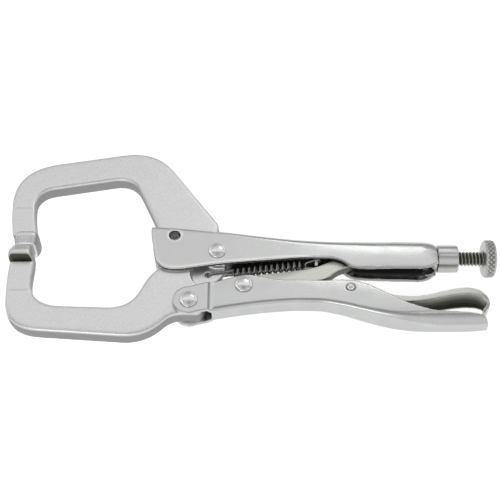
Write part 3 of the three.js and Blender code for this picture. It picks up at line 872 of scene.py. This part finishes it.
def lower_handle():
    body = channel("lower_handle", LOWER_CHANNEL, -10, crown=lower_crown)
    join(body, channel("ears", EARS, -10, 0.5))
    ear_x, ear_y = JAW_RIVET
    side = plate("side", outline([
        (ear_x, ear_y + EAR_RADIUS, 0),
        (ear_x, ear_y - EAR_RADIUS, 0),
        (-23.5, -38.4, 0),
        (-20.4, -38.4, 0),
        (-20.4, -55.0, 0),
        (129.0, -55.0, 0),
        (129.0, -42.6, 3),
        (123.0, -40.6, 3),
        (98.0, -38.9, 6),
        (86.0, -34.4, 6.5),
        (59.5, -17.6, 8),
        (14.0, -17.8, 7),
        (-1.0, -13.1, 6),
        (-21.0, -19.5, 2),
    ]), -20, 20)
    combine(body, join(side, bar(JAW_RIVET, EAR_RADIUS, -20, 20, 96)), "INTERSECT")
    plan = outline([
        (-60.0, -12.0, 0),
        (129.0, -8.8, 8),
        (129.0, 8.8, 8),
        (-60.0, 12.0, 0),
    ])
    combine(body, plan_plate(plan, -60, 20), "INTERSECT")
    cut(body, bar(JAW_RIVET, SHANK_RADIUS + GAP, -20, 20),
        bar(LINK_RIVET, SHANK_RADIUS + GAP, -20, 20),
        bar(RELEASE_PIN, RELEASE_PIN_RADIUS + GAP, -20, 20))
    soften(body, SHEET_VOXEL, SHEET_ROUNDING)
    half, spine = column(LOWER_CHANNEL, 1), column(LOWER_CHANNEL, 2)

    # Paints shade dark inside the channel.
    def inner(places, normals):
        x, y, z = places.T
        inside = under_skin(np.minimum(half(x) - np.abs(z), y - spine(x)))
        return inside * (faces_middle(places, normals) & (x > -19))

    # The walls' cut edges: bare steel darkened as painted shade, fading out towards the rear.
    def raw_and_shaded(places, normals):
        x, y, z = places.T
        wall = (np.abs(z) > half(x) - SHEET - 0.2) & (y > spine(x) + 2.5)
        return wall * sheet_edge(normals) * 0.7 * (1 - ramp(x, 40, 70))

    paint_masks(body, inner, raw_and_shaded, rim_fade=RIM_STRIP, rims=no_rims)
    finish_piece(body, "lower_handle", "lower_handle", stamped)


# ------------------------------------------------------------------ link, lever, rivets, pins

LEVER_VOXEL = 0.36


def toggle_link():
    link = plate("toggle_link", outline([
        (-1.5, -13.6, 1),
        (20.0, -10.9, 8),
        (36.0, -8.2, 6),
        (47.0, -2.6, 4),
        (54.0, 2.2, 1),
        (60.0, -1.5, 1),
        (57.0, -6.9, 2),
        (49.5, -9.8, 3),
        (42.5, -15.6, 3),
        (20.0, -21.2, 8),
        (-1.5, -27.3, 1),
    ]), -LINK_HALF, LINK_HALF)
    eye_radius, tip_radius = 6.3, 4.5
    join(link, bar(LINK_RIVET, eye_radius, -LINK_HALF, LINK_HALF),
         bar(LINK_TIP, tip_radius, -LINK_HALF, LINK_HALF))
    cut(link, bar(LINK_RIVET, SHANK_RADIUS + GAP, -LINK_HALF - 1, LINK_HALF + 1))
    soften(link, SHEET_VOXEL, 5)

    # Paints the upper handle's shadow on the link, darker towards the link's top edge.
    def shadowed_top(places, normals):
        x, y, _ = places.T
        above_middle = y + 21 - 0.34 * x
        return 0.7 * ramp(above_middle, -1.0, 5.5) * ramp_up_down(x, (4, 22), (38, 50))

    # Also paints a highlight along the link's convex edges.
    paint_masks(link, inner=shadowed_top, raw_and_shaded=forged_walls)
    finish_piece(link, "toggle_link", "toggle_link", lever_metal)


def release_lever():
    _, stations = curve_through(RELEASE_LEVER, 0.8)
    rings = []
    for index, (x, y, half, flange) in enumerate(stations):
        before, after = stations[max(index - 1, 0)], stations[min(index + 1, len(stations) - 1)]
        along = Vector((after[0] - before[0], after[1] - before[1])).normalized()
        section = [
            (half, 0), (-half, 0), (-half, -flange), (LEVER_SHEET - half, -flange),
            (LEVER_SHEET - half, -LEVER_SHEET), (half - LEVER_SHEET, -LEVER_SHEET),
            (half - LEVER_SHEET, -flange), (half, -flange),
        ]
        rings.append([(x - along.y * up, y + along.x * up, z) for z, up in section])
    lever = loft("release_lever", rings)
    cut(lever, bar(RELEASE_PIN, RELEASE_PIN_RADIUS + GAP, -9, 9))
    soften(lever, LEVER_VOXEL, SHEET_ROUNDING)
    web = stations[:, :2]

    # Paints shade dark inside the lever's channel, darker towards the floor side.
    def inner(places, normals):
        nearest = np.argmin(((places[:, None, :2] - web[None]) ** 2).sum(axis=2), axis=1)
        towards = np.gradient(web, axis=0)[nearest]
        towards /= np.linalg.norm(towards, axis=1, keepdims=True)
        along_x, along_y = towards.T
        from_x, from_y = (places[:, :2] - web[nearest]).T
        up = from_y * along_x - from_x * along_y
        half = stations[nearest, 2]
        z = places[:, 2]
        inside = ramp(-up, LEVER_SHEET - 0.5, LEVER_SHEET) * ramp(half - np.abs(z), 0.6, 1.6)
        return inside * (0.15 + 0.85 * ramp(-z / half, -0.75, 0.3))

    # Also paints a highlight along the lever's convex edges.
    paint_masks(lever, inner)
    finish_piece(lever, "release_lever", "release_lever", lever_metal)


def rivet(name, body, centre, grip_half):
    """A rivet: a shank through the tool and a domed head with a raised ring at each end."""
    seat = grip_half + GAP
    _, head = curve_through([
        (0.0, 4.75), (0.25, 5.0), (0.55, 4.78), (0.72, 4.35), (0.66, 3.95), (0.6, 3.7),
        (0.78, 3.3), (0.98, 2.4), (1.14, 1.2), (1.19, 0.25),
    ], 0.08)
    profile = [(seat + z, r) for z, r in head]
    rows = [(seat, SHANK_RADIUS), *profile, (seat + 1.2, 0.0)]
    mirrored = [(-z, r) for z, r in reversed(rows)]
    obj = revolve(name, mirrored + rows, 72, axis=(0, 0, 1), start=(*centre, 0))
    # Paints a highlight along the heads' convex edges.
    paint_masks(obj)
    finish_piece(obj, name, body, riveted)


def pin(name, body, centre, radius, half_length, dimple, recessed=False):
    """A plain pin with eased ends, and a punched dimple in each of them. The ends of a recessed
    pin are painted dark as shade."""
    dimple_bottom = half_length - 1.1
    _, end = curve_through([
        (half_length - 0.5, radius),
        (half_length - 0.14, radius - 0.12),
        (half_length, radius - 0.5),
        (half_length - 0.02, dimple + 0.15),
        (half_length - 0.3, dimple - 0.12),
        (half_length - 0.9, dimple * 0.4),
        (dimple_bottom, 0.05),
    ], 0.08)
    rows = [*[tuple(row) for row in end], (dimple_bottom, 0.0)]
    mirrored = [(-z, r) for z, r in reversed(rows)]
    obj = revolve(name, mirrored + rows, 56, axis=(0, 0, 1), start=(*centre, 0))

    # Paints the ends of a recessed pin dark as shade in its hole.
    def shaded_ends(places, normals):
        return 0.72 * recessed * (np.abs(places[:, 2]) > dimple_bottom - 0.1)

    paint_masks(obj, inner=shaded_ends)
    finish_piece(obj, name, body, riveted)


# ------------------------------------------------------------------ screw, sleeve, knob, spring

def off_axis(places):
    return np.hypot(places[:, 1], places[:, 2])


def screw_sleeve():
    bore = SCREW_RADIUS + GAP
    rows = [
        (SLEEVE_START, bore), (SLEEVE_START, SLEEVE_PLUG), (SLEEVE_SHOULDER, SLEEVE_PLUG),
        (SLEEVE_SHOULDER, SLEEVE_RADIUS - 0.45), (SLEEVE_SHOULDER + 0.15, SLEEVE_RADIUS - 0.15),
        (SLEEVE_SHOULDER + 0.45, SLEEVE_RADIUS),
    ]
    rows += [(x, SLEEVE_RADIUS) for x in np.linspace(SLEEVE_SHOULDER + 1, SLEEVE_END - 1, 12)]
    rows += [
        (SLEEVE_END - 0.5, SLEEVE_RADIUS - 0.02), (SLEEVE_END - 0.15, SLEEVE_RADIUS - 0.18),
        (SLEEVE_END, SLEEVE_RADIUS - 0.5), (SLEEVE_END, bore + 0.6), (SLEEVE_END - 0.5, bore),
    ]
    obj = revolve("screw_sleeve", rows, 96)
    paint_masks(obj, rims=no_rims)
    finish_piece(obj, "screw_sleeve", "upper_handle", stamped)


def adjusting_screw():
    depth = 0.85
    end = KNOB_START + KNOB_BORE

    def thread(x, radius, angle):
        phase = (x / SCREW_PITCH - angle / (2 * np.pi)) % 1
        groove = np.clip((0.5 - np.abs(phase - 0.5)) * 3.4 - 0.35, 0, 1)
        fade = ramp(x, SCREW_TIP + 1, SCREW_TIP + 3.5) * (radius > SCREW_RADIUS - 0.1)
        return -depth * (1 - groove) * fade

    rows = [(SCREW_TIP, 0.0), (SCREW_TIP, 2.4), (SCREW_TIP + 0.25, 2.9), (SCREW_TIP + 0.8, 3.3)]
    rows += [(x, SCREW_RADIUS) for x in np.arange(SCREW_TIP + 2, end - 0.6, SCREW_PITCH / 18)]
    rows += [(end, SCREW_RADIUS - 0.5), (end, 0.0)]
    obj = revolve("adjusting_screw", rows, 48, shift=thread)

    # Paints the thread's grooves dark as shade.
    def grooves(places, normals):
        return 1 - ramp(off_axis(places), SCREW_RADIUS - depth, SCREW_RADIUS - 0.15)

    paint_masks(obj, raw_and_shaded=grooves)
    finish_piece(obj, "adjusting_screw", "adjusting_screw", threaded)


def adjusting_knob():
    bore = SCREW_RADIUS + GAP
    starts, depth, edge = 24, 0.6, 1.8

    def inset(x):
        return np.minimum(x - KNOB_START, KNOB_END - x)

    def knurl(x, radius, angle):
        along = (x - KNOB_START) / (2 * np.pi * KNOB_RADIUS / starts)
        around = angle * starts / (2 * np.pi)
        left, right = (np.abs(((around + sign * along) % 1) - 0.5) for sign in (1, -1))
        groove = 1 - np.clip(np.minimum(left, right) * 3.4, 0, 1)
        return -depth * groove * ramp(inset(x), 0.35, 1.3) * (radius > KNOB_RADIUS - edge)

    turn = np.linspace(0, math.pi / 2, 10)
    eased = [(edge * (1 - math.sin(a)), KNOB_RADIUS - edge * (1 - math.cos(a))) for a in turn]
    front = [(KNOB_START + x, radius) for x, radius in eased[::-1]]
    back = [(KNOB_END - x, radius) for x, radius in eased]
    middle = [(x, KNOB_RADIUS) for x in np.linspace(KNOB_START + edge, KNOB_END - edge, 44)[1:-1]]
    depth_of_bore = KNOB_START + KNOB_BORE + GAP
    rows = [(depth_of_bore, 0.0), (depth_of_bore, bore), (KNOB_START + 0.4, bore),
            (KNOB_START, bore + 0.4), *front, *middle, *back,
            (KNOB_END, 5.0), (KNOB_END - 0.25, 4.4), (KNOB_END - 0.3, 0.0)]
    obj = revolve("adjusting_knob", rows, 360, shift=knurl)

    # Paints the knurl's grooves dark as shade, away from the knob's eased rims.
    def grooves(places, normals):
        flat = inset(places[:, 0]) > 1.3
        return flat * (1 - ramp(off_axis(places), KNOB_RADIUS - depth, KNOB_RADIUS - 0.15))

    paint_masks(obj, raw_and_shaded=grooves)
    finish_piece(obj, "adjusting_knob", "adjusting_knob", knurled)


def opening_spring():
    """A wound spring with a hook through the jaw's web and another around the handle's tab."""
    wire, coil_radius, pitch = 0.58, 3.05, 3.2
    eye, anchor = Vector((*SPRING_EYE, 0)), Vector((*SPRING_ANCHOR, 0))
    along = (anchor - eye).normalized()
    across = Vector((0, 0, 1)).cross(along)
    start, end = 13.5, 54.0

    def at(distance, side, height):
        return eye + along * distance + across * side + Vector((0, 0, height))

    web_clear = WEB_HALF + wire + 0.05
    path = [at(2.6, 0, -web_clear), at(1.2, 0, -web_clear), at(0.3, 0, -web_clear + 0.5),
            at(0.0, 0, -web_clear + 1.4), at(0.0, 0, web_clear - 1.4), at(0.3, 0, web_clear - 0.5),
            at(1.2, 0, web_clear), at(6.0, 0, coil_radius - 0.1), at(start - 1.2, 0, coil_radius)]
    turns = (end - start) / pitch
    steps = int(turns * 28)
    for step in range(steps + 1):
        angle = 2 * math.pi * turns * step / steps
        place = start + (end - start) * step / steps
        path.append(at(place, coil_radius * math.sin(angle), coil_radius * math.cos(angle)))
    last = 2 * math.pi * turns
    tab_clear = TAB_HALF + wire + 0.1
    path += [at(end + 1.5, coil_radius * math.sin(last) * 0.5, tab_clear), at(61.0, 0, tab_clear),
             at(62.9, 0, tab_clear), at(63.7, 0, tab_clear - 0.8), at(63.8, 0, 0.6)]
    obj = tube("opening_spring", path, wire)
    # Paints a highlight along the wire's convex curves.
    paint_masks(obj)
    finish_piece(obj, "opening_spring", None, sprung)
    tuple(TO_FRAME @ at(start, 0, 0))
    tuple(TO_FRAME @ at(end, 0, 0))
    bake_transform(obj)


# ------------------------------------------------------------------ the stage

# Brightness of the studio's walls and ceiling, by the angle in degrees from straight behind the
# tool (0) over its zenith (90) to straight in front of it (180).
WALLS = [(0, 0.30), (20, 0.38), (34, 0.52), (49, 0.70), (60, 1.02), (69, 0.58), (78, 0.28),
         (100, 0.28), (116, 0.52), (136, 0.76), (180, 0.72)]
HALF_TURN = 180


def studio():
    scene = bpy.context.scene
    scene.view_settings.view_transform = "Standard"
    scene.view_settings.look = "None"
    scene.view_settings.exposure = 0.0

    world = bpy.data.worlds.new("studio")
    world.use_nodes = True
    scene.world = world
    nodes, link = world.node_tree.nodes, world.node_tree.links.new
    place = nodes.new("ShaderNodeTexCoord")
    split = nodes.new("ShaderNodeSeparateXYZ")
    link(place.outputs["Generated"], split.inputs["Vector"])
    height = nodes.new("ShaderNodeMath")
    height.operation = "ARCTAN2"
    link(split.outputs["Z"], height.inputs[0])
    link(split.outputs["Y"], height.inputs[1])
    span = nodes.new("ShaderNodeMapRange")
    span.inputs["From Max"].default_value = math.pi
    link(height.outputs[0], span.inputs["Value"])
    sky = nodes.new("ShaderNodeValToRGB")
    sky.color_ramp.interpolation = "EASE"
    while len(sky.color_ramp.elements) < len(WALLS):
        sky.color_ramp.elements.new(0.5)
    for element, (angle, value) in zip(sky.color_ramp.elements, WALLS):
        element.position = angle / HALF_TURN
        element.color = grey(value)
    link(span.outputs["Result"], sky.inputs["Fac"])
    link(sky.outputs["Color"], nodes["Background"].inputs["Color"])
    nodes["Background"].inputs["Strength"].default_value = 1.0

    area("jaw_box", (-0.27, -0.6, 0.45), (-0.09, 0, 0), (0.36, 0.25), 0.4)
    area("window", (0.15, 0.585, 0.565), (0.05, 0, 0), (0.22, 0.11), 0.16)
    area("left_panel", (-0.33, -0.02, 0.8), (-0.1, 0, 0), (0.3, 0.34), 0.15)
    area("right_panel", (0.31, -0.02, 0.8), (0.1, 0, 0), (0.24, 0.34), 0.15)

    bpy.ops.mesh.primitive_plane_add(size=1, location=(0, 0.3, 0))
    floor = bpy.context.object
    floor.name = "floor"
    floor.scale = (6, 6, 1)
    floor.data.materials.append(paper())


def grey(value):
    return value, value, value, 1


def paper():
    """A plain pale floor that glows a little, so that its shadows stay soft and light, and
    that is greyer where metal mirrors it than where it is seen."""
    mirrored, seen = 0.66, 0.62
    mirrored_glow, seen_glow = 0.5, 0.77
    material = bpy.data.materials.new("floor")
    material.use_nodes = True
    nodes, link = material.node_tree.nodes, material.node_tree.links.new
    shader = nodes["Principled BSDF"]
    shader.inputs["Roughness"].default_value = 0.9
    shader.inputs["Specular IOR Level"].default_value = 0.1
    rays = nodes.new("ShaderNodeLightPath")
    tone = nodes.new("ShaderNodeMix")
    tone.data_type = "RGBA"
    link(rays.outputs["Is Camera Ray"], tone.inputs["Factor"])
    tone.inputs["A"].default_value = grey(mirrored)
    tone.inputs["B"].default_value = grey(seen)
    link(tone.outputs["Result"], shader.inputs["Base Color"])
    glow = nodes.new("ShaderNodeMath")
    glow.operation = "MULTIPLY_ADD"
    glow.inputs[1].default_value = seen_glow - mirrored_glow
    glow.inputs[2].default_value = mirrored_glow
    link(rays.outputs["Is Camera Ray"], glow.inputs[0])
    shader.inputs["Emission Color"].default_value = grey(1)
    link(glow.outputs[0], shader.inputs["Emission Strength"])
    return material


def area(name, place, target, size, power):
    """A rectangular light that looks at a target. Lengths are in metres and power in watts."""
    light = bpy.data.lights.new(name, "AREA")
    light.shape = "RECTANGLE"
    light.size, light.size_y = size
    light.energy = power
    obj = bpy.data.objects.new(name, light)
    obj.location = place
    obj.rotation_euler = (Vector(target) - Vector(place)).to_track_quat("-Z", "Y").to_euler()
    bpy.context.scene.collection.objects.link(obj)


def camera():
    """Looks down on the tool from in front of the lower handle."""
    target = ORIGIN + Vector((0, 6.27, 0)) * MM
    elevation = math.radians(54.5)
    distance = 0.6
    place = target + distance * Vector((0, -math.cos(elevation), math.sin(elevation)))
    data = bpy.data.cameras.new("camera")
    data.lens = 75.6
    data.sensor_width = 36
    obj = bpy.data.objects.new("camera", data)
    obj.location = place
    obj.rotation_euler = (target - place).to_track_quat("-Z", "Y").to_euler()
    bpy.context.scene.collection.objects.link(obj)
    bpy.context.scene.camera = obj


camera()
studio()
upper_jaw()
lower_jaw()
pad("upper_jaw_pad", "upper_handle", 1)
pad("lower_jaw_pad", "lower_jaw", -1)
upper_handle()
lower_handle()
toggle_link()
release_lever()
rivet("main_pivot_rivet", "upper_handle", MAIN_PIVOT, CHEEK_HALF)
rivet("lower_jaw_rivet", "lower_handle", JAW_RIVET, CHEEK_HALF)
rivet("link_rivet", "lower_handle", LINK_RIVET, LOWER_BODY_HALF)
pin("upper_jaw_pin", "upper_handle", JAW_PIN, PIN_HOLE_RADIUS - GAP, CHEEK_HALF - 1.8, 1.3,
    recessed=True)
pin("release_pin", "lower_handle", RELEASE_PIN, RELEASE_PIN_RADIUS, 6.3, 0.8)
screw_sleeve()
adjusting_screw()
adjusting_knob()
opening_spring()
